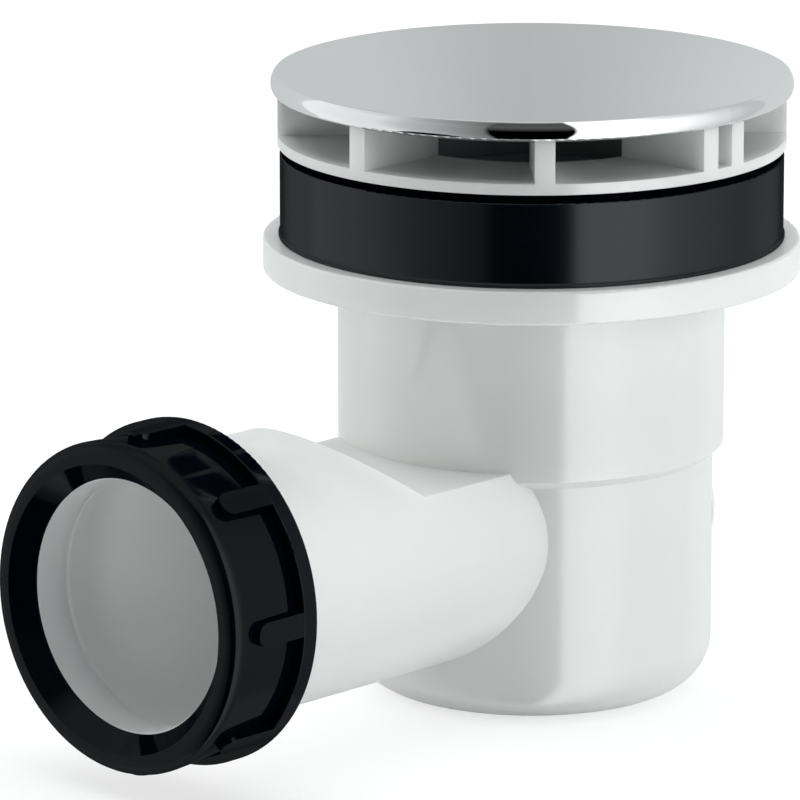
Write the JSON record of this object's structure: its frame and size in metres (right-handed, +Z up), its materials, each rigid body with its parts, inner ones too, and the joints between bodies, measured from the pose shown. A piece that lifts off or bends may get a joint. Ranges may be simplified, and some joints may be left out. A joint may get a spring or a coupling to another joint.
{
  "type": "shower trap",
  "caption": "Low shower trap with a round chrome cover over a slotted white grate, a black tray seal, a stepped white body and a horizontal outlet with a ribbed black union nut.",
  "frame": {"origin": "centre of the trap body's flat base", "axes": "+Z up along the body's axis, -Y along the outlet, away from the body"},
  "size_m": [0.1138, 0.1824, 0.1348],
  "materials": {
    "white_plastic": "satin moulded polypropylene",
    "black_plastic": "glossy moulded",
    "dark_plastic": "satin moulded",
    "black_rubber": "smooth satin rubber",
    "grey_seal": "smooth pale elastomer",
    "chrome": "polished plating"
  },
  "bodies": {
    "root": {"trap_body": "white_plastic", "grate_ring": "white_plastic", "cover_cap": "chrome", "top_seal": "black_rubber", "tray_seal": "black_rubber", "dip_tube": "dark_plastic", "dip_tube_seal": "black_rubber", "hair_strainer": "dark_plastic", "trap_cup": "white_plastic", "outlet_seal": "grey_seal", "union_nut": "black_plastic"}
  },
  "joints": []
}
